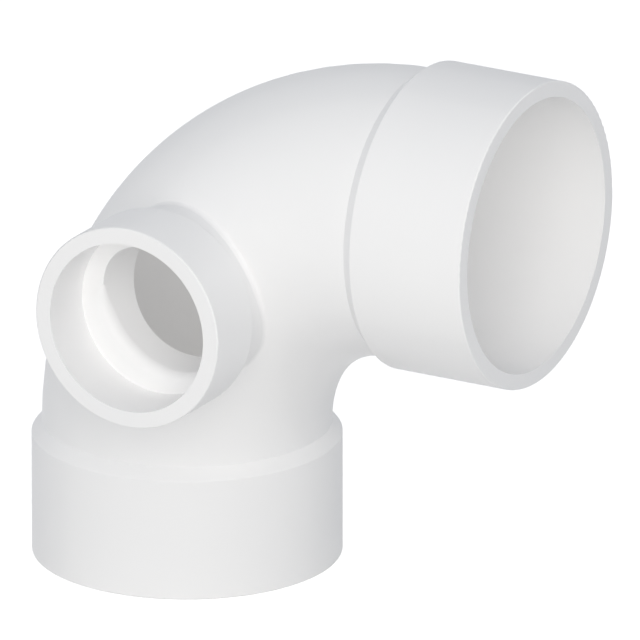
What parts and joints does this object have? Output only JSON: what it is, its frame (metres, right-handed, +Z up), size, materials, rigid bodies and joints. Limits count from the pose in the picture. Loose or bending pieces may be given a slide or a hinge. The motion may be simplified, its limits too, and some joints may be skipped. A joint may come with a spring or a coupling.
{
  "type": "side inlet reducing elbow",
  "caption": "Moulded plastic drain elbow: a long-turn quarter bend with an equal pipe socket at each end and a smaller inlet socket on its side.",
  "frame": {"origin": "centre of the mouth of the standing run socket, in the plane of its rim, on which the fitting stands", "axes": "+Z up the standing leg, +X out of the outlet socket, and the side inlet socket faces -Y"},
  "size_m": [0.1778, 0.1279, 0.1778],
  "materials": {
    "fitting": "injection-moulded white rigid PVC, smooth, with a soft sheen"
  },
  "bodies": {
    "root": {"side_inlet_elbow": "fitting"}
  },
  "joints": []
}
